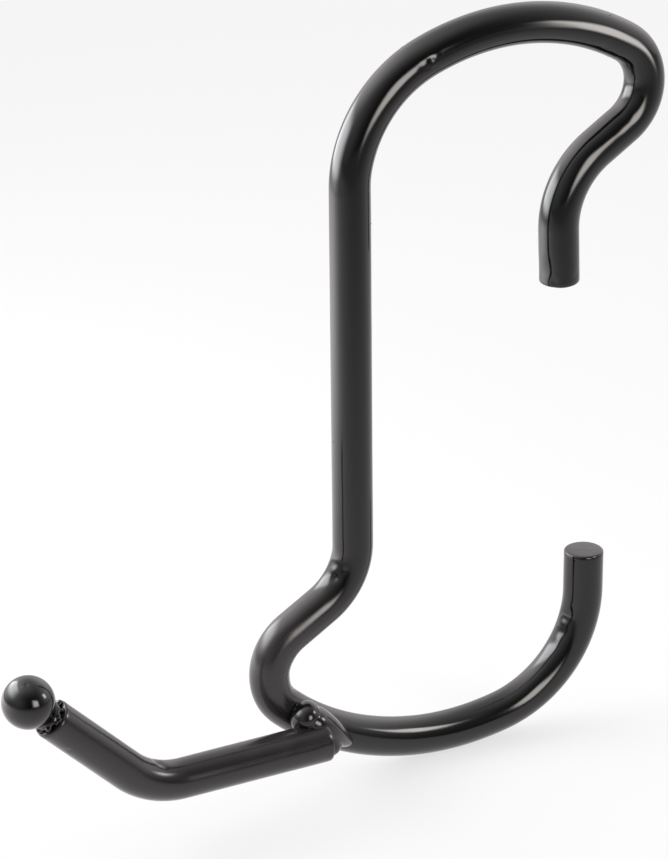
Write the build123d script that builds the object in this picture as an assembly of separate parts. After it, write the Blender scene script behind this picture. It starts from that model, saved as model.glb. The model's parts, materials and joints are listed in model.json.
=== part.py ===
from build123d import *
import os
from collections import namedtuple
from math import acos, cos, degrees, radians, sin

# Rail hook bent from one round steel bar, with a side peg that ends in a ball.
# The hook stands in the XZ plane. +Z is up, and its two mouths open to +X.
# The origin is the rail seat: the point under the crown of the top hook that rests on the rail.
# Lengths are millimetres, angles are degrees, and bend radii are to the centre of the bar.

# The bar and its sheared ends
BAR_DIAMETER = 8.0
END_ROUND = 0.5

# Top hook: a shallow crown, a wide shoulder down to the stem, and a tight turn towards the tip
CROWN_RADIUS = 49.0
CROWN_ANGLE_TO_STEM = 21.5
CROWN_ANGLE_TO_TIP = 32.0
SHOULDER_RADIUS = 25.5
TIP_TURN_RADIUS = 10.0
TIP_KINK_ANGLE = 59.5
TIP_KINK_RADIUS = 17.5
TIP_KINK_RUN = 7.0
TIP_LENGTH = 11.0
TIP_LEAN = 1.5

# Stem
STEM_LENGTH = 73.0

# Bowl: the same sequence turned over, with a heel that juts out behind the stem
HEEL_KINK_ANGLE = 59.5
HEEL_KINK_RADIUS = 14.0
HEEL_KINK_RUN = 8.0
HEEL_TURN_RADIUS = 10.0
BOWL_RADIUS = 56.0
BOWL_ANGLE_TO_HEEL = 42.0
BOWL_ANGLE_TO_TOE = 12.0
TOE_RADIUS = 24.0
TOE_LENGTH = 8.5
TOE_LEAN = 0.5

# Peg: a second bar, welded to the front of the bowl where the two bars cross
PEG_RISE = 9.25
PEG_PAST_CROSSING = 0.7
PEG_RUN = 33.0
PEG_BEND_RADIUS = 17.0
PEG_BEND_ANGLE = 44.5
PEG_ARM_LENGTH = 21.5
ROOT_GAP = 0.1

# Ball on the peg and the weld neck that holds it
BALL_DIAMETER = 10.0
NECK_GAP = 1.2
NECK_DIAMETER = 6.0

# Weld bead in the groove above the crossing
BEAD_RADIUS = 3.5
BEAD_STANDOFF = 1.3
BEAD_LIFT = 1.5
BEAD_TO_HEEL = 5.0
BEAD_TO_TOE = 1.3

BAR_RADIUS = BAR_DIAMETER / 2
BALL_RADIUS = BALL_DIAMETER / 2
CROWN_TOP = Vector(0, BAR_RADIUS)

Run = namedtuple("Run", "length")
Bend = namedtuple("Bend", "radius angle")


def trace(start, heading, steps):
    """Join straight runs and tangent bends end to end; a positive angle turns counter-clockwise."""
    edges = []
    point = start
    direction = Vector(cos(radians(heading)), sin(radians(heading)))
    for step in steps:
        if isinstance(step, Run):
            edge = Line(point, point + direction * step.length)
        else:
            edge = JernArc(point, direction, step.radius, step.angle)
        edges.append(edge)
        point = edge @ 1
        direction = edge % 1
    return edges


def bar_along(edges, depth=0.0):
    """Round bar along a chain of edges drawn in XZ, moved to the given depth, with eased ends."""
    sketch_plane = Plane.XZ.offset(-depth)
    path = sketch_plane * Wire(edges)
    profile = Plane(origin=path @ 0, z_dir=path % 0) * Circle(BAR_RADIUS)
    bar = sweep(profile, path=path)
    end_faces = bar.faces().filter_by(GeomType.PLANE)
    return fillet(end_faces.edges(), END_ROUND)


def tip_side():
    """From the crown to the tip: tight turn, back kink and a straight tip beside the stem."""
    tip_turn = 90 + TIP_KINK_ANGLE - TIP_LEAN - CROWN_ANGLE_TO_TIP
    return trace(CROWN_TOP, 0, [
        Bend(CROWN_RADIUS, -CROWN_ANGLE_TO_TIP),
        Bend(TIP_TURN_RADIUS, -tip_turn),
        Run(TIP_KINK_RUN),
        Bend(TIP_KINK_RADIUS, TIP_KINK_ANGLE),
        Run(TIP_LENGTH),
    ])


def stem_side():
    """From the crown to the lowest point of the bowl: shoulder, stem, kink, heel and bowl."""
    heel_turn = 90 + HEEL_KINK_ANGLE - BOWL_ANGLE_TO_HEEL
    return trace(CROWN_TOP, 180, [
        Bend(CROWN_RADIUS, CROWN_ANGLE_TO_STEM),
        Bend(SHOULDER_RADIUS, 90 - CROWN_ANGLE_TO_STEM),
        Run(STEM_LENGTH),
        Bend(HEEL_KINK_RADIUS, -HEEL_KINK_ANGLE),
        Run(HEEL_KINK_RUN),
        Bend(HEEL_TURN_RADIUS, heel_turn),
        Bend(BOWL_RADIUS, BOWL_ANGLE_TO_HEEL),
    ])


def toe_side(bowl_floor):
    """From the lowest point of the bowl to the toe, which stands up beside the stem."""
    return trace(bowl_floor, 0, [
        Bend(BOWL_RADIUS, BOWL_ANGLE_TO_TOE),
        Bend(TOE_RADIUS, 90 - TOE_LEAN - BOWL_ANGLE_TO_TOE),
        Run(TOE_LENGTH),
    ])


def crossing_angle():
    """Slope of the bowl where it crosses the peg, from how far the peg lies above the bowl's floor."""
    return degrees(acos(1 - PEG_RISE / BOWL_RADIUS))


def crossing_point(bowl_floor):
    """Point on the bowl's centre line, in the hook's plane, where the peg crosses it."""
    slope = radians(crossing_angle())
    return Vector(bowl_floor.X - BOWL_RADIUS * sin(slope), bowl_floor.Y + PEG_RISE)


def peg_path(crossing):
    """Peg from its root, level and away from the mouths, then bent up towards the ball."""
    root = Vector(crossing.X + PEG_PAST_CROSSING, crossing.Y)
    return trace(root, 180, [
        Run(PEG_PAST_CROSSING + PEG_RUN),
        Bend(PEG_BEND_RADIUS, -PEG_BEND_ANGLE),
        Run(PEG_ARM_LENGTH),
    ])


def ball_and_neck(peg_end, peg_direction, depth):
    """Ball beyond the peg's end, and the short neck of weld metal that fills the gap."""
    axis = Vector(peg_direction.X, 0, peg_direction.Y)
    end_centre = Vector(peg_end.X, depth, peg_end.Y)
    ball_centre = end_centre + axis * (NECK_GAP + BALL_RADIUS)
    ball = Plane(origin=ball_centre, z_dir=axis) * Sphere(BALL_RADIUS)
    neck_seat = Plane(origin=end_centre, z_dir=axis)
    neck = extrude(neck_seat * Circle(NECK_DIAMETER / 2), NECK_GAP + BALL_RADIUS / 2)
    return ball, (neck - ball).solids()[0]


def weld_bead(crossing, depth, hook_bar, peg_bar):
    """Bead laid along the bowl in the groove above the peg, taking the shape of both bars."""
    slope = radians(crossing_angle())
    along = Vector(cos(slope), 0, -sin(slope))
    outward = Vector(sin(slope), 0, cos(slope))
    middle = Vector(crossing.X, depth / 2 - BEAD_STANDOFF, crossing.Y) + outward * BEAD_LIFT
    heel_end = middle - along * BEAD_TO_HEEL
    toe_end = middle + along * BEAD_TO_TOE
    core = Plane(origin=heel_end, z_dir=along)
    bead = extrude(core * Circle(BEAD_RADIUS), BEAD_TO_HEEL + BEAD_TO_TOE)
    bead = bead + Pos(heel_end) * Sphere(BEAD_RADIUS) + Pos(toe_end) * Sphere(BEAD_RADIUS)
    bead = bead - hook_bar - peg_bar
    return bead.solids().sort_by(SortBy.VOLUME)[-1]


def save(part, name):
    part.label = name
    export_step(part, f"parts/{name}.step")


def main():
    os.makedirs("parts", exist_ok=True)

    stem_edges = stem_side()
    bowl_floor = stem_edges[-1] @ 1
    hook_bar = bar_along(tip_side() + stem_edges + toe_side(bowl_floor))

    crossing = crossing_point(bowl_floor)
    peg_depth = -(BAR_DIAMETER + ROOT_GAP)
    peg_edges = peg_path(crossing)
    peg_bar = bar_along(peg_edges, peg_depth)

    ball, neck = ball_and_neck(peg_edges[-1] @ 1, peg_edges[-1] % 1, peg_depth)
    bead = weld_bead(crossing, peg_depth, hook_bar, peg_bar)

    save(hook_bar, "hook_bar")
    save(peg_bar, "peg_bar")
    save(ball, "peg_ball")
    save(neck, "ball_weld")
    save(bead, "peg_weld")


main()
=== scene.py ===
import json
from collections import namedtuple
from math import acos, cos, pi, radians, sin

import bmesh
import bpy
from bpy.props import FloatProperty, FloatVectorProperty, IntProperty, PointerProperty
from mathutils import Euler, Matrix, Vector


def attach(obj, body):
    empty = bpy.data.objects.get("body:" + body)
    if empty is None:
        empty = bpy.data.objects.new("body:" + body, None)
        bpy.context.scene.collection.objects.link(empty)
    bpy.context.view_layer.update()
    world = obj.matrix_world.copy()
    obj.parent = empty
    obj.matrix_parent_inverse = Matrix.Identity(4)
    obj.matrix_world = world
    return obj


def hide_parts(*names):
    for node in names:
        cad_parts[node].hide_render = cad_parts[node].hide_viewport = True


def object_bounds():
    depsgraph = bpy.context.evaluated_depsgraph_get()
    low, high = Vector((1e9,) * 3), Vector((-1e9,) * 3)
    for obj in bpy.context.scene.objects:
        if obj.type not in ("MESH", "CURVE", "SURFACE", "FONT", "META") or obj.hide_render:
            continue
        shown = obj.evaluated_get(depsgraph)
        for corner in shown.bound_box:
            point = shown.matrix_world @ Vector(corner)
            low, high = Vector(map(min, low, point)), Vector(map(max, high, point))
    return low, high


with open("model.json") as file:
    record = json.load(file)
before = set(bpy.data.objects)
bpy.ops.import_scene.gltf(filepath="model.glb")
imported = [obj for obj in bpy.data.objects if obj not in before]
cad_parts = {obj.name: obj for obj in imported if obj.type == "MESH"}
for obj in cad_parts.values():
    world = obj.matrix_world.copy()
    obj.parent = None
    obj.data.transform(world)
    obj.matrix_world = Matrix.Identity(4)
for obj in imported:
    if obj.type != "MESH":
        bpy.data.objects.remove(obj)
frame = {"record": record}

bl_info = {
    "name": "Bent Bar Rail Hook",
    "version": (1, 0, 0),
    "blender": (4, 5, 0),
    "location": "View3D > Sidebar > Rail Hook",
    "description": "Builds a gloss black rail hook bent from round bar, with a welded side peg and ball",
    "category": "Object",
}

CAD_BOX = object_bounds()
RECORD = frame["record"]
MM = 0.001

PER_SQUARE_CM = 10000.0  # square centimetres in a square metre
BAR_SIDES = 72
BAR_WAVINESS = 0.045 * MM
COAT_SHARE = 0.05  # reflections carry the look, so the coat's own colour is far below the record's
AIM_OFFSET = Vector((0.96 * MM, 0.0, -1.96 * MM))  # from the middle of the CAD box to the camera's aim
FLOOR_GLOW = 0.68  # light that the floor gives off to the camera
FLOOR_SHARE = 0.20  # share of the floor's colour that takes the shadow

SKY_BASE = 0.04  # even light all round
SKY_PATCHES = (  # direction and strength of each soft patch of light
    ((-0.55, 0.45, 0.7), 2.5),
    ((0.0, 0.0, 1.0), 1.0),
    ((0.75, 0.55, 0.45), 1.8),
    ((-0.3, 0.9, 0.3), 2.3),
    ((0.9, -0.2, 0.3), 1.3),
    ((-0.9, -0.3, 0.3), 0.6),
)

# Steps of a centre line: a straight run, and a tangent bend.
Run = namedtuple("Run", "length")
Bend = namedtuple("Bend", "radius angle")
# Tool mark: millimetres along the bar, degrees round it, reach and depth in millimetres.
Mark = namedtuple("Mark", "along clock reach depth")


def coat_colour(slot_name):
    """The coat's own colour, from the base colour that the record gives a material slot."""
    for entry in RECORD["materials"]:
        if entry["slot"] == slot_name:
            return tuple(COAT_SHARE * c for c in entry["base_color"])
    raise RuntimeError(f"the record has no material slot {slot_name}")


# ---------------------------------------------------------------- sizes and colours

def length(name, description, default_mm):
    """A length that a user may change, kept in metres."""
    return FloatProperty(name=name, description=description, default=default_mm * MM,
                         min=0.0, precision=5, subtype="DISTANCE", unit="LENGTH")


def angle(name, description, default_deg):
    """An angle that a user may change, kept in radians."""
    return FloatProperty(name=name, description=description, default=radians(default_deg),
                         subtype="ANGLE", unit="ROTATION")


class RailHookBarSizes(bpy.types.PropertyGroup):
    """The hook's bar and its bends. Bend radii are to the centre of the bar."""
    bar_diameter: length("Bar diameter", "Diameter of the coated bar", 8.0)
    end_round: length("End rounding", "Radius that the coat gives the sheared edges", 0.5)
    crown_radius: length("Crown radius", "Shallow bend over the rail", 49.0)
    crown_to_stem: angle("Crown to stem", "Turn of the crown on the stem side", 21.5)
    crown_to_tip: angle("Crown to tip", "Turn of the crown on the tip side", 32.0)
    shoulder_radius: length("Shoulder radius", "Bend from the crown down to the stem", 25.5)
    tip_turn_radius: length("Tip turn radius", "Tight turn above the tip", 10.0)
    tip_kink_angle: angle("Tip kink", "Back bend that stands the tip upright", 59.5)
    tip_kink_radius: length("Tip kink radius", "Radius of the back bend above the tip", 17.5)
    tip_kink_run: length("Tip kink run", "Straight run between the tight turn and the back bend", 7.0)
    tip_length: length("Tip length", "Straight end of the top hook", 11.0)
    tip_lean: angle("Tip lean", "How far the tip leans out", 1.5)
    stem_length: length("Stem length", "Straight stem between shoulder and heel", 73.0)
    heel_kink_angle: angle("Heel kink", "Bend that takes the bar behind the stem", 59.5)
    heel_kink_radius: length("Heel kink radius", "Radius of the bend below the stem", 14.0)
    heel_kink_run: length("Heel kink run", "Straight run between the kink and the heel", 8.0)
    heel_turn_radius: length("Heel radius", "Tight turn of the heel", 10.0)
    bowl_radius: length("Bowl radius", "Shallow bend of the bowl", 56.0)
    bowl_to_heel: angle("Bowl to heel", "Turn of the bowl on the heel side", 42.0)
    bowl_to_toe: angle("Bowl to toe", "Turn of the bowl on the toe side", 12.0)
    toe_radius: length("Toe radius", "Bend from the bowl up to the toe", 24.0)
    toe_length: length("Toe length", "Straight end of the bowl", 8.5)
    toe_lean: angle("Toe lean", "How far the toe leans out", 0.5)


class RailHookPegSizes(bpy.types.PropertyGroup):
    """The side peg, its ball and the weld metal."""
    peg_rise: length("Peg rise", "Height of the peg's centre line above the bowl's", 9.25)
    peg_past_crossing: length("Peg past crossing", "Length of the root past the crossing", 0.7)
    root_trim: length("Root trim", "Length that the weld has taken from the peg's root", 2.4)
    peg_run: length("Peg run", "Level run from the crossing to the bend", 33.0)
    peg_bend_radius: length("Peg bend radius", "Bend up towards the ball", 17.0)
    peg_bend_angle: angle("Peg bend", "Turn of the bend up towards the ball", 44.5)
    peg_arm_length: length("Peg arm length", "Straight run from the bend to the ball", 21.5)
    root_gap: length("Root gap", "Gap between the two bars at the crossing", 0.1)
    ball_diameter: length("Ball diameter", "Ball on the end of the peg", 10.0)
    ball_coat: length("Ball coat", "Extra thickness of the coat that ran together on the ball", 0.18)
    neck_gap: length("Neck gap", "Gap between the peg's end and the ball", 1.2)
    neck_diameter: length("Neck diameter", "Weld metal between peg and ball", 6.0)
    bead_width: length("Bead width", "Width of the weld bead above the crossing", 7.0)


class RailHookFinish(bpy.types.PropertyGroup):
    """The gloss coat and its small faults."""
    coat: FloatVectorProperty(name="Coat colour", description="Colour of the gloss coat",
                              default=coat_colour("bar_coat"), subtype="COLOR", min=0.0, max=1.0)
    weld: FloatVectorProperty(name="Weld coat colour", description="Colour of the coat over weld metal",
                              default=coat_colour("weld_coat"), subtype="COLOR", min=0.0, max=1.0)
    gloss_roughness: FloatProperty(name="Coat roughness", description="Blur of the coat's reflections",
                                   default=0.12, min=0.0, max=1.0, subtype="FACTOR")
    nib_count: FloatProperty(name="Nibs per square centimetre", description="Specks caught in the coat",
                             default=0.7, min=0.0, max=20.0)
    nib_size: length("Nib size", "Radius of the largest speck", 0.17)
    nib_seed: IntProperty(name="Nib seed", description="Chooses where the specks fall", default=4, min=0)


class RailHookStudio(bpy.types.PropertyGroup):
    """Floor, lights and camera."""
    floor_colour: FloatVectorProperty(name="Floor colour", description="Colour of the plain floor",
                                      default=(0.86, 0.86, 0.86), subtype="COLOR", min=0.0, max=1.0)
    back_light: FloatProperty(name="Back left light", description="Brightness of the large panel behind",
                              default=9.5, min=0.0, max=100.0)
    side_light: FloatProperty(name="Front right light", description="Brightness of the panel in front",
                              default=9.0, min=0.0, max=100.0)
    strip_light: FloatProperty(name="Right card light",
                               description="Brightness of the near card at the right",
                               default=12.0, min=0.0, max=100.0)
    camera_azimuth: angle("Camera azimuth", "Camera's turn round the hook", -27.736)
    camera_elevation: angle("Camera elevation", "Camera's height above the horizon", 23.639)
    camera_roll: angle("Camera roll", "Camera's turn about its own axis", -0.589)
    camera_distance: length("Camera distance", "Camera to the middle of the hook", 802.5)
    lens: FloatProperty(name="Lens", description="Focal length on a 36 mm sensor, in millimetres",
                        default=174.85, min=10.0, max=600.0)


def sizes():
    """The four groups of settings on the scene."""
    scene = bpy.context.scene
    return scene.rail_hook_bar, scene.rail_hook_peg, scene.rail_hook_finish, scene.rail_hook_studio


# ---------------------------------------------------------------- centre lines

def trace(start, heading, steps, spacing=0.5 * MM):
    """Closely spaced points along runs and bends, and the last heading.

    A positive bend turns counter-clockwise.
    """
    points = [Vector(start)]
    direction = heading
    for step in steps:
        here = points[-1]
        if isinstance(step, Run):
            count = max(2, round(step.length / spacing))
            ahead = Vector((cos(direction), sin(direction)))
            points += [here + ahead * step.length * i / count for i in range(1, count + 1)]
        else:
            count = max(4, round(abs(step.angle) * step.radius / spacing))
            side = 1 if step.angle > 0 else -1
            centre = here + Vector((-sin(direction), cos(direction))) * step.radius * side
            for i in range(1, count + 1):
                turned = direction + step.angle * i / count
                points.append(centre + Vector((sin(turned), -cos(turned))) * step.radius * side)
            direction += step.angle
    return points, direction


def hook_line(bar):
    """Centre line of the whole hook bar in XZ, from tip to toe, and the lowest point of the bowl."""
    top = (0.0, bar.bar_diameter / 2)
    quarter = pi / 2
    tip, _ = trace(top, 0.0, [
        Bend(bar.crown_radius, -bar.crown_to_tip),
        Bend(bar.tip_turn_radius, -(quarter + bar.tip_kink_angle - bar.tip_lean - bar.crown_to_tip)),
        Run(bar.tip_kink_run),
        Bend(bar.tip_kink_radius, bar.tip_kink_angle),
        Run(bar.tip_length),
    ])
    stem, _ = trace(top, pi, [
        Bend(bar.crown_radius, bar.crown_to_stem),
        Bend(bar.shoulder_radius, quarter - bar.crown_to_stem),
        Run(bar.stem_length),
        Bend(bar.heel_kink_radius, -bar.heel_kink_angle),
        Run(bar.heel_kink_run),
        Bend(bar.heel_turn_radius, quarter + bar.heel_kink_angle - bar.bowl_to_heel),
        Bend(bar.bowl_radius, bar.bowl_to_heel),
    ])
    toe, _ = trace(stem[-1], 0.0, [
        Bend(bar.bowl_radius, bar.bowl_to_toe),
        Bend(bar.toe_radius, quarter - bar.toe_lean - bar.bowl_to_toe),
        Run(bar.toe_length),
    ])
    return tip[::-1] + stem[1:] + toe[1:], stem[-1]


def crossing(bar, peg, bowl_floor):
    """Point in XZ where the peg crosses the bowl, and the bowl's slope there."""
    slope = acos(1 - peg.peg_rise / bar.bowl_radius)
    return Vector((bowl_floor[0] - bar.bowl_radius * sin(slope), bowl_floor[1] + peg.peg_rise)), slope


def peg_depth(bar, peg):
    """Y of the peg's centre line, in front of the hook's."""
    return -(bar.bar_diameter + peg.root_gap)


def peg_line(peg, cross):
    """Centre line of the peg in XZ, from its root to the ball's end, and the way that it ends."""
    line, heading = trace((cross[0] + peg.peg_past_crossing - peg.root_trim, cross[1]), pi, [
        Run(peg.peg_past_crossing - peg.root_trim + peg.peg_run),
        Bend(peg.peg_bend_radius, -peg.peg_bend_angle),
        Run(peg.peg_arm_length),
    ])
    return line, Vector((cos(heading), sin(heading)))


def with_sheared_ends(line, radius, rounding):
    """Centre line points with a radius each, rounded and slightly crowned at both ends."""
    def end_cap(tip, outward):
        rows = []
        crown = 0.06 * MM
        for i in range(1, 6):
            turn = i / 5 * pi / 2
            inset = crown + rounding * (1 - sin(turn))
            rows.append((tip - outward * inset, radius - rounding * (1 - cos(turn))))
        flat = radius - rounding
        for share in (0.8, 0.6, 0.4, 0.2, 0.03):
            rows.append((tip - outward * crown * share ** 2, flat * share))
        return rows
    start_out = (line[0] - line[1]).normalized()
    end_out = (line[-1] - line[-2]).normalized()
    keep = rounding + 0.1 * MM
    middle = [(p, radius) for p in line if (p - line[0]).length > keep and (p - line[-1]).length > keep]
    return end_cap(line[0], start_out)[::-1] + middle + end_cap(line[-1], end_out)


# ---------------------------------------------------------------- node building

class Sock:
    """A node socket that can be used in Python expressions; each operation adds a Math node."""

    def __init__(self, build, socket):
        self.build = build
        self.socket = socket

    def _math(self, operation, other=None, flip=False):
        a, b = (other, self) if flip else (self, other)
        values = [a] if b is None else [a, b]
        return self.build.add("ShaderNodeMath", {"operation": operation}, dict(enumerate(values)))

    def __add__(self, other):
        return self._math("ADD", other)

    def __radd__(self, other):
        return self._math("ADD", other, True)

    def __sub__(self, other):
        return self._math("SUBTRACT", other)

    def __rsub__(self, other):
        return self._math("SUBTRACT", other, True)

    def __mul__(self, other):
        return self._math("MULTIPLY", other)

    def __rmul__(self, other):
        return self._math("MULTIPLY", other, True)

    def __truediv__(self, other):
        return self._math("DIVIDE", other)

    def __rtruediv__(self, other):
        return self._math("DIVIDE", other, True)

    def __pow__(self, other):
        return self._math("POWER", other)

    def __neg__(self):
        return self * -1.0

    def exp(self):
        return self._math("EXPONENT")

    def absolute(self):
        return self._math("ABSOLUTE")

    def at_least(self, other):
        return self._math("MAXIMUM", other)

    def at_most(self, other):
        return self._math("MINIMUM", other)


class Build:
    """Adds nodes to one tree."""

    def __init__(self, tree):
        self.tree = tree

    def node(self, kind, settings=None, inputs=None):
        """A node of a kind, its settings set first, then the values or links of its inputs."""
        made = self.tree.nodes.new(kind)
        for name, value in (settings or {}).items():
            if name == "stops":
                ramp = made.color_ramp
                while len(ramp.elements) > 1:
                    ramp.elements.remove(ramp.elements[-1])
                for index, (place, colour) in enumerate(value):
                    stop = ramp.elements[0] if index == 0 else ramp.elements.new(place)
                    stop.position = place
                    stop.color = colour
            else:
                setattr(made, name, value)
        for key, value in (inputs or {}).items():
            target = made.inputs[key]
            if isinstance(value, Sock):
                self.tree.links.new(value.socket, target)
            elif value is not None:
                target.default_value = value
        return made

    def add(self, kind, settings=None, inputs=None, output=0):
        """The same, giving one output as an expression."""
        return Sock(self, self.node(kind, settings, inputs).outputs[output])

    def outputs(self, kind, settings=None, inputs=None):
        """The same, giving every output by name."""
        made = self.node(kind, settings, inputs)
        return {o.name: Sock(self, o) for o in made.outputs}

    def vector(self, operation, a, b=None, output=0):
        """A Vector Math node."""
        inputs = {0: a} if b is None else {0: a, 1: b}
        return self.add("ShaderNodeVectorMath", {"operation": operation}, inputs, output)

    def scaled(self, vector, factor):
        """A vector times a number."""
        return self.add("ShaderNodeVectorMath", {"operation": "SCALE"}, {0: vector, "Scale": factor})

    def noise(self, vector, scale, detail=2.0, rough=0.5):
        """Noise from 0 to 1."""
        made = self.outputs("ShaderNodeTexNoise", None,
                            {"Vector": vector, "Scale": scale, "Detail": detail, "Roughness": rough})
        return made.get("Fac", made.get("Factor"))

    def ease(self, value, low, high, at_low, at_high):
        """A smooth step between two values."""
        return self.add("ShaderNodeMapRange", {"interpolation_type": "SMOOTHSTEP"},
                        {0: value, 1: low, 2: high, 3: at_low, 4: at_high})

    def blend(self, factor, a, b):
        """Mix of two colours."""
        return self.add("ShaderNodeMix", {"data_type": "RGBA"}, {0: factor, 6: a, 7: b}, 2)


def new_tree(name, inputs):
    """A geometry tree with a geometry input, the named inputs and a geometry output."""
    tree = bpy.data.node_groups.new(name, "GeometryNodeTree")
    tree.interface.new_socket("Geometry", in_out="INPUT", socket_type="NodeSocketGeometry")
    for label, kind, default in inputs:
        made = tree.interface.new_socket(label, in_out="INPUT", socket_type=kind)
        if default is not None:
            made.default_value = default
    tree.interface.new_socket("Geometry", in_out="OUTPUT", socket_type="NodeSocketGeometry")
    entry = tree.nodes.new("NodeGroupInput")
    build = Build(tree)
    return tree, build, {o.name: Sock(build, o) for o in entry.outputs if o.name}


def end_tree(build, geometry):
    """Links the finished geometry to the tree's output."""
    leave = build.tree.nodes.new("NodeGroupOutput")
    build.tree.links.new(geometry.socket, leave.inputs[0])


def add_object(name, data):
    """An object at the origin in the scene's collection."""
    made = bpy.data.objects.new(name, data)
    bpy.context.scene.collection.objects.link(made)
    return made


def plain_mesh(source, name, material):
    """Replaces an object with modifiers by a plain one that holds the finished mesh."""
    bpy.context.view_layer.update()
    graph = bpy.context.evaluated_depsgraph_get()
    mesh = bpy.data.meshes.new_from_object(source.evaluated_get(graph), depsgraph=graph)
    if len(mesh.polygons) == 0:
        raise RuntimeError(f"{name} came out empty")
    mesh.name = name
    bpy.data.objects.remove(source)
    mesh.materials.clear()
    mesh.materials.append(material)
    return add_object(name, mesh)


def run_tree(source, tree, values, name, material):
    """Runs a tree on an object and keeps the result as a plain mesh at the origin."""
    modifier = source.modifiers.new("shape", "NODES")
    modifier.node_group = tree
    for item in tree.interface.items_tree:
        if item.item_type == "SOCKET" and item.in_out == "INPUT" and item.name in values:
            modifier[item.identifier] = values[item.name]
    return plain_mesh(source, name, material)


def curve_object(name, points, depth):
    """Poly curve through points in XZ at a depth, with the radius of each point."""
    data = bpy.data.curves.new(name, "CURVE")
    data.dimensions = "3D"
    data.twist_mode = "MINIMUM"
    spline = data.splines.new("POLY")
    spline.points.add(len(points) - 1)
    for slot, (place, radius) in zip(spline.points, points):
        slot.co = (place[0], depth, place[1], 1.0)
        slot.radius = radius
    return add_object(name, data)


def on_bar(line, depth, radius, along, clock):
    """Point on a bar's surface, by millimetres along the bar and degrees round it.

    Nought faces the front; a positive clock turns to the left of the direction of travel.
    """
    gone = 0.0
    for here, there in zip(line, line[1:]):
        step = (there - here).length
        if gone + step >= along * MM or there is line[-1]:
            break
        gone += step
    ahead = (there - here).normalized()
    centre = here + ahead * (along * MM - gone)
    turn = radians(clock)
    return Vector((centre[0] - ahead[1] * sin(turn) * radius, depth - cos(turn) * radius,
                   centre[1] + ahead[0] * sin(turn) * radius))


def bar_tree(name, marks):
    """Sweeps a round bar along a curve and presses tool marks into it.

    Each mark is a point on the surface with a reach and a depth: below zero is a dent, above is a lump.
    """
    tree, b, given = new_tree(name, [
        ("Sides", "NodeSocketInt", BAR_SIDES),
        ("Waviness", "NodeSocketFloat", BAR_WAVINESS),
        ("Material", "NodeSocketMaterial", None),
    ])
    profile = b.add("GeometryNodeCurvePrimitiveCircle", {"mode": "RADIUS"},
                    {"Resolution": given["Sides"], "Radius": 1.0})
    spot = b.outputs("GeometryNodeInputPosition")["Position"]
    caught_profile = b.node("GeometryNodeCaptureAttribute", {"domain": "POINT"})
    caught_profile.capture_items.new("VECTOR", "ring")
    b.tree.links.new(profile.socket, caught_profile.inputs["Geometry"])
    b.tree.links.new(spot.socket, caught_profile.inputs["ring"])
    ring = Sock(b, caught_profile.outputs["ring"])

    along = b.outputs("GeometryNodeSplineParameter")["Length"]
    caught_line = b.node("GeometryNodeCaptureAttribute", {"domain": "POINT"})
    caught_line.capture_items.new("FLOAT", "along")
    b.tree.links.new(given["Geometry"].socket, caught_line.inputs["Geometry"])
    b.tree.links.new(along.socket, caught_line.inputs["along"])
    reach_along = Sock(b, caught_line.outputs["along"])

    swept = b.add("GeometryNodeCurveToMesh", None, {
        "Curve": Sock(b, caught_line.outputs["Geometry"]),
        "Profile Curve": Sock(b, caught_profile.outputs["Geometry"]),
        "Scale": b.add("GeometryNodeInputRadius"),
        "Fill Caps": True,
    })
    parts = b.outputs("ShaderNodeSeparateXYZ", None, {0: ring})
    bar_place = b.add("ShaderNodeCombineXYZ", None, {
        0: parts["X"] * 4.0 * MM, 1: parts["Y"] * 4.0 * MM, 2: reach_along})
    kept = b.add("GeometryNodeStoreNamedAttribute", {"data_type": "FLOAT_VECTOR", "domain": "POINT"},
                 {"Geometry": swept, "Name": "bar_place", "Value": bar_place})

    here = b.outputs("GeometryNodeInputPosition")["Position"]
    out = b.outputs("GeometryNodeInputNormal")["Normal"]
    stretched = b.vector("MULTIPLY", bar_place, (1.0, 1.0, 0.22))
    push = (b.noise(stretched, 260.0) - 0.5) * given["Waviness"] * 2.0
    for spot, reach, dent in marks:
        away = b.add("ShaderNodeVectorMath", {"operation": "DISTANCE"}, {0: here, 1: spot}, 1)
        push = push + (-(away * away) / (reach ** 2)).exp() * dent
    moved = b.add("GeometryNodeSetPosition", None, {
        "Geometry": kept, "Offset": b.scaled(out, push)})
    smooth = b.add("GeometryNodeSetShadeSmooth", None, {"Geometry": moved, "Shade Smooth": True})
    whole = b.add("GeometryNodeRealizeInstances", None, {"Geometry": smooth})
    end_tree(b, b.add("GeometryNodeSetMaterial", None, {"Geometry": whole, "Material": given["Material"]}))
    return tree


def sweep_bar(name, line, depth, bar, marks, material):
    """One finished bar: swept, marked, closed at both ends."""
    radius = bar.bar_diameter / 2
    source = curve_object(name + "_line", with_sheared_ends(line, radius, bar.end_round), depth)
    pressed = [(on_bar(line, depth, radius, m.along, m.clock), m.reach * MM, m.depth * MM) for m in marks]
    made = run_tree(source, bar_tree(name + "_sweep", pressed),
                    {"Sides": BAR_SIDES, "Waviness": BAR_WAVINESS, "Material": material}, name, material)
    face_outwards(made.data)
    return made


def face_outwards(mesh):
    """Turns the faces of a closed mesh outwards."""
    work = bmesh.new()
    work.from_mesh(mesh)
    bmesh.ops.recalc_face_normals(work, faces=work.faces)
    if work.calc_volume(signed=True) < 0:
        bmesh.ops.reverse_faces(work, faces=work.faces)
    work.to_mesh(mesh)
    work.free()
    mesh.update()


# ---------------------------------------------------------------- finishes

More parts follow.
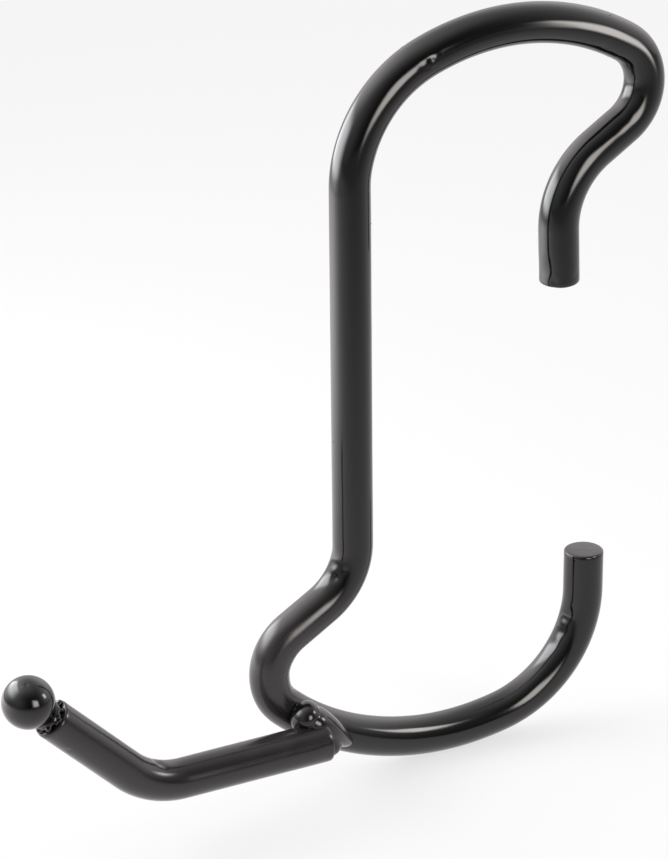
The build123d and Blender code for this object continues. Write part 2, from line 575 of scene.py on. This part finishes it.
def coat_material(name, colour, roughness, ripple, dulling=0.0, heel_sheen_share=0.75):
    """Near-black gloss enamel with fine draw lines along the bar, orange peel, rubs, and a lighter, rougher
    patch at the heel whose lighter colour is a painted highlight.
    """
    material = bpy.data.materials.new(name)
    material.use_nodes = True
    tree = material.node_tree
    tree.nodes.clear()
    b = Build(tree)
    place = b.add("ShaderNodeAttribute",
                  {"attribute_name": "bar_place", "attribute_type": "GEOMETRY"}, None, 1)
    solid = b.outputs("ShaderNodeTexCoord")["Object"]

    drawn = b.noise(b.vector("MULTIPLY", place, (1.0, 1.0, 0.03)), 1500.0, 3.0, 0.6)
    peel = b.noise(solid, 900.0)
    broad = b.noise(solid, 120.0)
    dust = b.noise(solid, 5200.0, 2.0, 0.7)
    rub = b.ease(b.noise(solid, 260.0, 5.0, 0.7), 0.62, 0.76, 0.0, 1.0)
    height = drawn * 0.55 + peel * 0.35 + dust * 0.05
    bump = b.add("ShaderNodeBump", None,
                 {"Strength": 0.35 * ripple, "Distance": 0.02 * MM, "Height": height})
    worn = tuple(c * 2.6 + 0.0006 for c in colour)
    bar, peg = sizes()[:2]
    cross, _ = crossing(bar, peg, hook_line(bar)[1])
    # Painted highlight: a lighter, rougher patch round the heel stands in for the broad reflection there;
    # its extra roughness also dulls the coat.
    heel_sheen_centre = Vector((cross[0] - 12 * MM, 0.0, cross[1] + 13 * MM))
    away = b.vector("DISTANCE", solid, heel_sheen_centre, 1)
    heel_sheen = b.ease(away + (broad - 0.5) * 14 * MM, 9 * MM, 24 * MM, heel_sheen_share, 0.0)
    sheen_and_dulling = heel_sheen.at_least(dulling) * (drawn * 0.8 + 0.5)
    tint = b.blend(rub * 0.55 + broad * 0.2, (*colour, 1.0), (*worn, 1.0))
    # Lightens the coat towards grey: the heel's painted highlight, plus the dulling all over.
    tint = b.blend(sheen_and_dulling.at_most(1.0) * 0.5, tint, (0.040, 0.037, 0.038, 1.0))
    shine = roughness + sheen_and_dulling * 0.20 + rub * 0.10 + (broad - 0.5) * 0.05 + (drawn - 0.5) * 0.04
    principled = b.node("ShaderNodeBsdfPrincipled", None, {
        "Base Color": tint, "Roughness": shine, "Normal": bump,
        "IOR": 1.5, "Metallic": 0.0, "Coat Weight": 0.0})
    leave = b.node("ShaderNodeOutputMaterial")
    tree.links.new(principled.outputs[0], leave.inputs["Surface"])
    return material


def material_once(name, make):
    """The named material, made on first use."""
    return bpy.data.materials.get(name) or make()


def bar_coat():
    """Gloss coat of the two bars and the ball."""
    finish = sizes()[2]
    return material_once("gloss_bar_coat", lambda: coat_material(
        "gloss_bar_coat", tuple(finish.coat), finish.gloss_roughness, 1.0))


def peg_coat():
    """The coat of the peg, a little rougher and lighter in colour than the rest."""
    finish = sizes()[2]
    return material_once("dull_bar_coat", lambda: coat_material(
        "dull_bar_coat", tuple(finish.coat), finish.gloss_roughness, 1.2, 0.4))


def weld_coat():
    """Gloss coat over weld metal, a little rougher, with a weaker share of the heel's painted highlight."""
    finish = sizes()[2]
    return material_once("gloss_weld_coat", lambda: coat_material(
        "gloss_weld_coat", tuple(finish.weld), finish.gloss_roughness + 0.02, 1.4, 0.05, 0.15))


def seat(piece, node):
    """Puts a finished piece on the hook's one body in place of a CAD node."""
    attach(piece, "root")
    if node:
        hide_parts(node)


# ---------------------------------------------------------------- pieces

class RAILHOOK_OT_hook_bar(bpy.types.Operator):
    """Sweeps the hook's bar from tip to toe and presses the bending tool's marks into it"""
    bl_idname = "railhook.hook_bar"
    bl_label = "Hook bar"

    def execute(self, context):
        bar = context.scene.rail_hook_bar
        line, _ = hook_line(bar)
        tip_end = [Mark(3, 75, 2.6, -0.3), Mark(1.2, 45, 0.9, -0.22), Mark(2, -25, 0.8, -0.08)]
        tip_turn = [Mark(47, 62, 2.2, -0.12), Mark(53, 61, 1.2, -0.14), Mark(62.5, 35, 1.3, -0.1),
                    Mark(58, 48, 0.9, 0.06), Mark(34, 34, 1.6, -0.05)]
        crown_nick = [Mark(102.6, -12, 0.55, -0.16), Mark(101.4, -18, 0.7, 0.05),
                      Mark(103.8, 2, 0.5, -0.14), Mark(102.4, 14, 0.5, -0.1), Mark(104.6, -14, 0.8, -0.05)]
        shoulder_foot = [Mark(129, 95, 2.4, -0.16), Mark(131, -60, 1.2, -0.05)]
        stem_foot = [Mark(212, -74, 1.0, 0.12), Mark(213.6, -60, 0.8, -0.3), Mark(211.2, -42, 0.6, -0.16),
                     Mark(209, -97, 1.6, -0.2)]
        heel = [Mark(243, 70, 1.5, -0.08), Mark(236, 60, 1.5, -0.06), Mark(239, -52, 3.0, -0.12),
                Mark(246, -40, 2.4, -0.1)]
        toe_bend = [Mark(326, 74, 1.5, -0.26), Mark(324, 84, 0.8, 0.08), Mark(322, 70, 1.2, -0.16),
                    Mark(329, 54, 0.9, -0.1), Mark(318, 85, 1.6, -0.12)]
        marks = tip_end + tip_turn + crown_nick + shoulder_foot + stem_foot + heel + toe_bend
        made = sweep_bar("hook_rod", line, 0.0, bar, marks, bar_coat())
        seat(made, "hook_bar")
        return {"FINISHED"}


class RAILHOOK_OT_peg_bar(bpy.types.Operator):
    """Sweeps the side peg from its root to the end that carries the ball"""
    bl_idname = "railhook.peg_bar"
    bl_label = "Peg bar"

    def execute(self, context):
        bar, peg = sizes()[:2]
        cross, _ = crossing(bar, peg, hook_line(bar)[1])
        line, _ = peg_line(peg, cross)
        marks = [Mark(38.6, -80, 0.9, -0.45), Mark(40, -70, 0.6, 0.1), Mark(37.4, -62, 0.7, -0.12),
                 Mark(60, 44, 0.5, -0.1), Mark(61, 40, 0.4, 0.06), Mark(1.5, 10, 1.6, -0.12)]
        made = sweep_bar("peg_rod", line, peg_depth(bar, peg), bar, marks, peg_coat())
        seat(made, "peg_bar")
        return {"FINISHED"}


def blob_mesh(name, blobs, voxel, smooth_steps, material):
    """Closed skin round a heap of balls and eggs, the way weld metal freezes."""
    work = bmesh.new()
    for centre, radii, turn in blobs:
        made = bmesh.ops.create_icosphere(work, subdivisions=4, radius=1.0)
        shape = Matrix.Translation(centre) @ turn.to_matrix().to_4x4() @ Matrix.Diagonal((*radii, 1.0))
        bmesh.ops.transform(work, matrix=shape, verts=made["verts"])
    mesh = bpy.data.meshes.new(name)
    work.to_mesh(mesh)
    work.free()
    source = add_object(name + "_heap", mesh)
    remesh = source.modifiers.new("skin", "REMESH")
    remesh.mode = "VOXEL"
    remesh.voxel_size = voxel
    ease = source.modifiers.new("ease", "SMOOTH")
    ease.factor = 0.5
    ease.iterations = smooth_steps
    made = plain_mesh(source, name, material)
    for face in made.data.polygons:
        face.use_smooth = True
    return made


class RAILHOOK_OT_peg_ball(bpy.types.Operator):
    """Makes the ball and the neck of weld metal that holds it"""
    bl_idname = "railhook.peg_ball"
    bl_label = "Ball and neck"

    def execute(self, context):
        bar, peg = sizes()[:2]
        cross, _ = crossing(bar, peg, hook_line(bar)[1])
        line, heading = peg_line(peg, cross)
        depth = peg_depth(bar, peg)
        axis = Vector((heading[0], 0.0, heading[1]))
        end = Vector((line[-1][0], depth, line[-1][1]))
        radius = peg.ball_diameter / 2
        centre = end + axis * (peg.neck_gap + radius)

        work = bmesh.new()
        bmesh.ops.create_icosphere(work, subdivisions=6, radius=radius + peg.ball_coat)
        # A pit, a speck beside it and a flat towards the neck: direction, height and tightness.
        faults = [(Vector((-0.18, -0.35, 0.92)).normalized(), -0.14 * MM, 500),
                  (Vector((-0.32, -0.38, 0.87)).normalized(), 0.05 * MM, 900),
                  (-axis, -0.05 * MM, 6)]
        for vertex in work.verts:
            way = vertex.co.normalized()
            for toward, rise, tightness in faults:
                vertex.co += way * rise * max(0.0, way.dot(toward)) ** tightness
            vertex.co += centre
        for face in work.faces:
            face.smooth = True
        mesh = bpy.data.meshes.new("peg_knob")
        work.to_mesh(mesh)
        work.free()
        mesh.materials.append(bar_coat())
        seat(add_object("peg_knob", mesh), "peg_ball")

        across = axis.cross(Vector((0.0, 1.0, 0.0)))
        up = Vector((0.0, 1.0, 0.0))
        reach = peg.neck_diameter / 2
        level = axis.to_track_quat("Z", "Y")
        blobs = [(end + axis * peg.neck_gap * 0.6, (reach, reach, peg.neck_gap * 1.2), level)]
        lumps = 14
        for i in range(lumps):
            turn = 2 * pi * i / lumps + 0.25 * sin(5.0 * i)
            size = (0.5 + 0.16 * sin(3.7 * i + 1.0)) * MM
            place = end + axis * (0.35 + 0.25 * sin(2.3 * i)) * MM
            place += (across * cos(turn) + up * sin(turn)) * (reach + (0.1 + 0.2 * sin(1.9 * i)) * MM)
            blobs.append((place, (size, size, size * 0.8), level))
        neck = blob_mesh("ball_neck", blobs, 0.12 * MM, 3, weld_coat())
        seat(neck, "ball_weld")
        return {"FINISHED"}


class RAILHOOK_OT_peg_weld(bpy.types.Operator):
    """Lays the weld bead in the groove above the crossing of the two bars"""
    bl_idname = "railhook.peg_weld"
    bl_label = "Weld bead"

    def execute(self, context):
        bar, peg = sizes()[:2]
        cross, slope = crossing(bar, peg, hook_line(bar)[1])
        depth = peg_depth(bar, peg)
        along = Vector((cos(slope), 0.0, -sin(slope)))
        outward = Vector((sin(slope), 0.0, cos(slope)))
        middle = Vector((cross[0], depth / 2 - 1.3 * MM, cross[1])) + outward * 1.5 * MM
        wide = peg.bead_width / 2
        level = Euler((0.0, slope, 0.0)).to_quaternion()
        front = Vector((0.0, -1.0, 0.0))

        def lump(run, rise, forward, *radii):
            return (middle + along * run * MM + outward * rise * MM + front * forward * MM,
                    tuple(v * wide for v in radii), level)

        blobs = [lump(-7.0, -0.1, 0.3, 0.80, 0.92, 0.96), lump(-5.4, -0.3, 0.4, 0.70, 0.84, 0.82)]
        for i in range(13):
            gone = i / 12
            blobs.append(lump(-4.4 + 7.6 * gone, -0.3 - 1.3 * gone, 0.5 - 1.5 * gone ** 2,
                              1.1, 1.04 - 0.40 * gone ** 2, 0.92 - 0.42 * gone ** 2))
        blobs += [lump(-0.4 + 0.5 * i, -2.2 - 0.5 * i, 1.0, 0.80, 0.72, 0.72) for i in range(3)]
        made = blob_mesh("peg_weld_bead", blobs, 0.16 * MM, 16, weld_coat())
        seat(made, "peg_weld")
        return {"FINISHED"}


def nib_tree():
    """Scatters small flattened specks over a surface."""
    tree, b, given = new_tree("nib_scatter", [
        ("Density", "NodeSocketFloat", 7000.0),
        ("Size", "NodeSocketFloat", 0.17 * MM),
        ("Seed", "NodeSocketInt", 4),
        ("Material", "NodeSocketMaterial", None),
    ])
    scattered = b.outputs("GeometryNodeDistributePointsOnFaces", None, {
        "Mesh": given["Geometry"], "Density": given["Density"], "Seed": given["Seed"]})
    speck = b.add("GeometryNodeMeshIcoSphere", None, {"Radius": 1.0, "Subdivisions": 2})
    chance = b.add("FunctionNodeRandomValue", {"data_type": "FLOAT"},
                   {2: 0.3, 3: 1.0, "Seed": given["Seed"]}, 1)
    across = chance * chance * given["Size"]
    shape = b.add("ShaderNodeCombineXYZ", None, {0: across, 1: across * 1.25, 2: across * 0.55})
    placed = b.add("GeometryNodeInstanceOnPoints", None, {
        "Points": scattered["Points"], "Instance": speck,
        "Rotation": scattered["Rotation"], "Scale": shape})
    whole = b.add("GeometryNodeRealizeInstances", None, {"Geometry": placed})
    smooth = b.add("GeometryNodeSetShadeSmooth", None, {"Geometry": whole, "Shade Smooth": True})
    end_tree(b, b.add("GeometryNodeSetMaterial", None, {"Geometry": smooth, "Material": given["Material"]}))
    return tree


class RAILHOOK_OT_nibs(bpy.types.Operator):
    """Scatters the specks caught in the coat over both bars and the ball"""
    bl_idname = "railhook.nibs"
    bl_label = "Coating nibs"

    def execute(self, context):
        finish = context.scene.rail_hook_finish
        work = bmesh.new()
        for name in ("hook_rod", "peg_rod", "peg_knob"):
            work.from_mesh(bpy.data.objects[name].data)
        mesh = bpy.data.meshes.new("nib_ground")
        work.to_mesh(mesh)
        work.free()
        made = run_tree(add_object("nib_ground", mesh), nib_tree(), {
            "Density": finish.nib_count * PER_SQUARE_CM, "Size": finish.nib_size,
            "Seed": finish.nib_seed, "Material": weld_coat()}, "coating_nibs", weld_coat())
        seat(made, None)
        return {"FINISHED"}


class RAILHOOK_OT_studio(bpy.types.Operator):
    """Sets up the pale floor, the three light panels, the soft surroundings and the camera"""
    bl_idname = "railhook.studio"
    bl_label = "Studio"

    def execute(self, context):
        scene = context.scene
        studio = scene.rail_hook_studio
        low, high = CAD_BOX
        floor_height = low[2]

        half = 4.0
        mesh = bpy.data.meshes.new("floor")
        mesh.from_pydata([(-half, -half, floor_height), (half, -half, floor_height),
                          (half, half, floor_height), (-half, half, floor_height)], [], [(0, 1, 2, 3)])
        floor = add_object("floor", mesh)
        floor.data.materials.append(floor_material(tuple(studio.floor_colour)))

        panel("back_left_panel", (-0.165, 0.158), radians(68), 0.38, (-0.085, 0.09),
              studio.back_light, (0.97, 0.98, 1.0))
        panel("front_right_panel", (0.036, -0.700), radians(-29), 0.50, (-0.12, 0.32),
              studio.side_light, (1.0, 0.95, 0.90))
        panel("right_card", (0.120, -0.120), radians(38), 0.085, (-0.055, 0.055),
              studio.strip_light, (1.0, 0.97, 0.93))
        surroundings(scene)

        data = bpy.data.cameras.new("camera")
        data.lens = studio.lens
        data.sensor_width = 36.0
        data.sensor_fit = "AUTO"
        data.clip_start = 0.01
        data.clip_end = 20.0
        camera = add_object("camera", data)
        turn, rise = studio.camera_azimuth, studio.camera_elevation
        back = Vector((sin(turn) * cos(rise), -cos(turn) * cos(rise), sin(rise)))
        middle = Vector(((low[0] + high[0]) / 2, 0.0, (low[2] + high[2]) / 2))
        aim = middle + AIM_OFFSET
        camera.rotation_mode = "QUATERNION"
        camera.location = aim + back * studio.camera_distance
        level = (-back).to_track_quat("-Z", "Y")
        camera.rotation_quaternion = level @ Euler((0.0, 0.0, studio.camera_roll)).to_quaternion()
        scene.camera = camera
        scene.view_settings.view_transform = "Standard"
        scene.view_settings.look = "None"
        return {"FINISHED"}


def floor_material(colour):
    """Floor that glows and takes a soft shadow for the camera, and lights the reflections unevenly."""
    material = bpy.data.materials.new("pale_floor")
    material.use_nodes = True
    tree = material.node_tree
    tree.nodes.clear()
    b = Build(tree)
    place = b.outputs("ShaderNodeTexCoord")["Object"]
    speck = b.noise(place, 900.0, 3.0)
    shade = b.blend(speck * 0.05, (*(FLOOR_SHARE * c for c in colour), 1.0), (0.16, 0.16, 0.16, 1.0))
    matte = b.node("ShaderNodeBsdfDiffuse", None, {"Color": shade})
    glow = b.node("ShaderNodeEmission", None, {"Color": (1.0, 1.0, 1.0, 1.0), "Strength": FLOOR_GLOW})
    both = b.node("ShaderNodeAddShader")
    tree.links.new(matte.outputs[0], both.inputs[0])
    tree.links.new(glow.outputs[0], both.inputs[1])
    seen = b.outputs("ShaderNodeLightPath")["Is Camera Ray"]
    lit = b.node("ShaderNodeEmission", None, {"Color": floor_glow(b, place), "Strength": 1.0})
    pick = b.node("ShaderNodeMixShader", None, {0: seen})
    tree.links.new(lit.outputs[0], pick.inputs[1])
    tree.links.new(both.outputs[0], pick.inputs[2])
    leave = b.node("ShaderNodeOutputMaterial")
    tree.links.new(pick.outputs[0], leave.inputs["Surface"])
    return material


def floor_glow(b, place):
    """Light that the floor gives back: strong behind and to the left, fading to the front."""
    parts = b.outputs("ShaderNodeSeparateXYZ", None, {0: place})
    dx = (parts["X"] + 0.241) / 0.166
    dy = (parts["Y"] - 0.173) / 0.166
    pool = (-(dx * dx + dy * dy)).exp()
    behind = b.ease(parts["Y"], -0.5, -0.02, 0.35, 1.0)
    level = pool * 2.8 + behind * 0.95
    return b.add("ShaderNodeCombineColor", {"mode": "RGB"}, {0: level, 1: level * 0.96, 2: level * 0.97})


def panel(name, middle, yaw, width, heights, strength, colour):
    """Upright glowing panel with soft edges, hidden from the camera and casting no shadow."""
    side = Vector((cos(yaw), sin(yaw), 0.0)) * width / 2
    corners = [Vector((middle[0], middle[1], 0.0)) + side * s for s in (-1, 1)]
    low, high = heights
    spots = [(c[0], c[1], z) for z in (low, high) for c in corners]
    mesh = bpy.data.meshes.new(name)
    mesh.from_pydata([spots[0], spots[1], spots[3], spots[2]], [], [(0, 1, 2, 3)])
    layer = mesh.uv_layers.new(name="UVMap")
    for loop, uv in zip(layer.data, ((0, 0), (1, 0), (1, 1), (0, 1))):
        loop.uv = uv
    made = add_object(name, mesh)
    material = bpy.data.materials.new(name)
    material.use_nodes = True
    tree = material.node_tree
    tree.nodes.clear()
    b = Build(tree)
    uv = b.outputs("ShaderNodeSeparateXYZ", None, {0: b.outputs("ShaderNodeTexCoord")["UV"]})

    def soft(value, edge):
        return b.ease(0.5 - (value - 0.5).absolute(), 0.0, edge, 0.0, 1.0)

    inside = soft(uv["X"], 0.3) * soft(uv["Y"], 0.3)
    glow = b.node("ShaderNodeEmission", None, {"Color": (*colour, 1.0), "Strength": strength})
    clear = b.node("ShaderNodeBsdfTransparent")
    mix = b.node("ShaderNodeMixShader", None, {0: inside})
    tree.links.new(clear.outputs[0], mix.inputs[1])
    tree.links.new(glow.outputs[0], mix.inputs[2])
    leave = b.node("ShaderNodeOutputMaterial")
    tree.links.new(mix.outputs[0], leave.inputs["Surface"])
    mesh.materials.append(material)
    made.visible_camera = False
    made.visible_shadow = False
    return made


def surroundings(scene):
    """White to the camera; to reflections dark, with soft patches of light."""
    world = bpy.data.worlds.new("studio_air")
    world.use_nodes = True
    tree = world.node_tree
    tree.nodes.clear()
    b = Build(tree)
    aim = b.outputs("ShaderNodeTexCoord")["Generated"]
    level = SKY_BASE
    for toward, strength in SKY_PATCHES:
        facing = b.vector("DOT_PRODUCT", aim, Vector(toward).normalized(), 1)
        level = level + facing.at_least(0.0) ** 6.0 * strength
    air = b.add("ShaderNodeCombineColor", {"mode": "RGB"}, {0: level, 1: level * 0.965, 2: level * 0.98})
    seen = b.outputs("ShaderNodeLightPath")["Is Camera Ray"]
    shown = b.blend(seen, air, (1.0, 1.0, 1.0, 1.0))
    back = b.node("ShaderNodeBackground", None, {"Color": shown, "Strength": 1.0})
    leave = b.node("ShaderNodeOutputWorld")
    tree.links.new(back.outputs[0], leave.inputs["Surface"])
    scene.world = world


# ---------------------------------------------------------------- panel and registration

class RAILHOOK_PT_panel(bpy.types.Panel):
    """Lists the hook's settings and the steps that build it"""
    bl_idname = "RAILHOOK_PT_panel"
    bl_label = "Rail Hook"
    bl_space_type = "VIEW_3D"
    bl_region_type = "UI"
    bl_category = "Rail Hook"

    def draw(self, context):
        layout = self.layout
        for group in sizes():
            box = layout.box()
            for prop in group.bl_rna.properties:
                if prop.identifier not in {"rna_type", "name"}:
                    box.prop(group, prop.identifier)
        for step in STEPS:
            layout.operator(step.bl_idname)


STEPS = (
    RAILHOOK_OT_hook_bar,
    RAILHOOK_OT_peg_bar,
    RAILHOOK_OT_peg_ball,
    RAILHOOK_OT_peg_weld,
    RAILHOOK_OT_nibs,
    RAILHOOK_OT_studio,
)
CLASSES = (RailHookBarSizes, RailHookPegSizes, RailHookFinish, RailHookStudio, *STEPS, RAILHOOK_PT_panel)


def register():
    """Registers the classes and puts the settings on the scene."""
    for item in CLASSES:
        bpy.utils.register_class(item)
    bpy.types.Scene.rail_hook_bar = PointerProperty(type=RailHookBarSizes)
    bpy.types.Scene.rail_hook_peg = PointerProperty(type=RailHookPegSizes)
    bpy.types.Scene.rail_hook_finish = PointerProperty(type=RailHookFinish)
    bpy.types.Scene.rail_hook_studio = PointerProperty(type=RailHookStudio)


def unregister():
    """Takes the settings and classes away again."""
    for name in ("rail_hook_bar", "rail_hook_peg", "rail_hook_finish", "rail_hook_studio"):
        delattr(bpy.types.Scene, name)
    for item in reversed(CLASSES):
        bpy.utils.unregister_class(item)


def main():
    """Builds every piece in order."""
    register()
    for step in STEPS:
        space, call = step.bl_idname.split(".")
        getattr(getattr(bpy.ops, space), call)()


if __name__ == "__main__":
    main()
